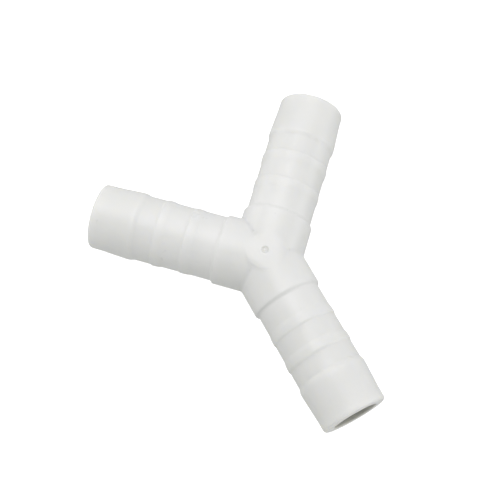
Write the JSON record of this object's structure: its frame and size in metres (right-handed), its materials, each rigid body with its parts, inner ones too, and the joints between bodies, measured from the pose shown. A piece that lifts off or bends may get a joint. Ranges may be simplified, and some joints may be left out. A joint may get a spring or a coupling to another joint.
{
  "type": "barbed y hose connector",
  "caption": "Barbed Y hose connector: equal tubular spigots with low rings and a tapered end barb, joined at a plain round-tubed junction with open bores.",
  "frame": {"origin": "where the axes of the three bores meet, in the middle plane of the moulding", "axes": "all three bores lie in the plane Z = 0; the stem runs along -Y, the branches at 45 degrees each side of +Y; +Z is the side with the gate mark"},
  "size_m": [0.059, 0.065, 0.0144],
  "materials": {
    "moulding": "satin"
  },
  "bodies": {
    "root": {"junction_hub": "moulding", "stem_spigot": "moulding", "left_branch_spigot": "moulding", "right_branch_spigot": "moulding"}
  },
  "joints": []
}
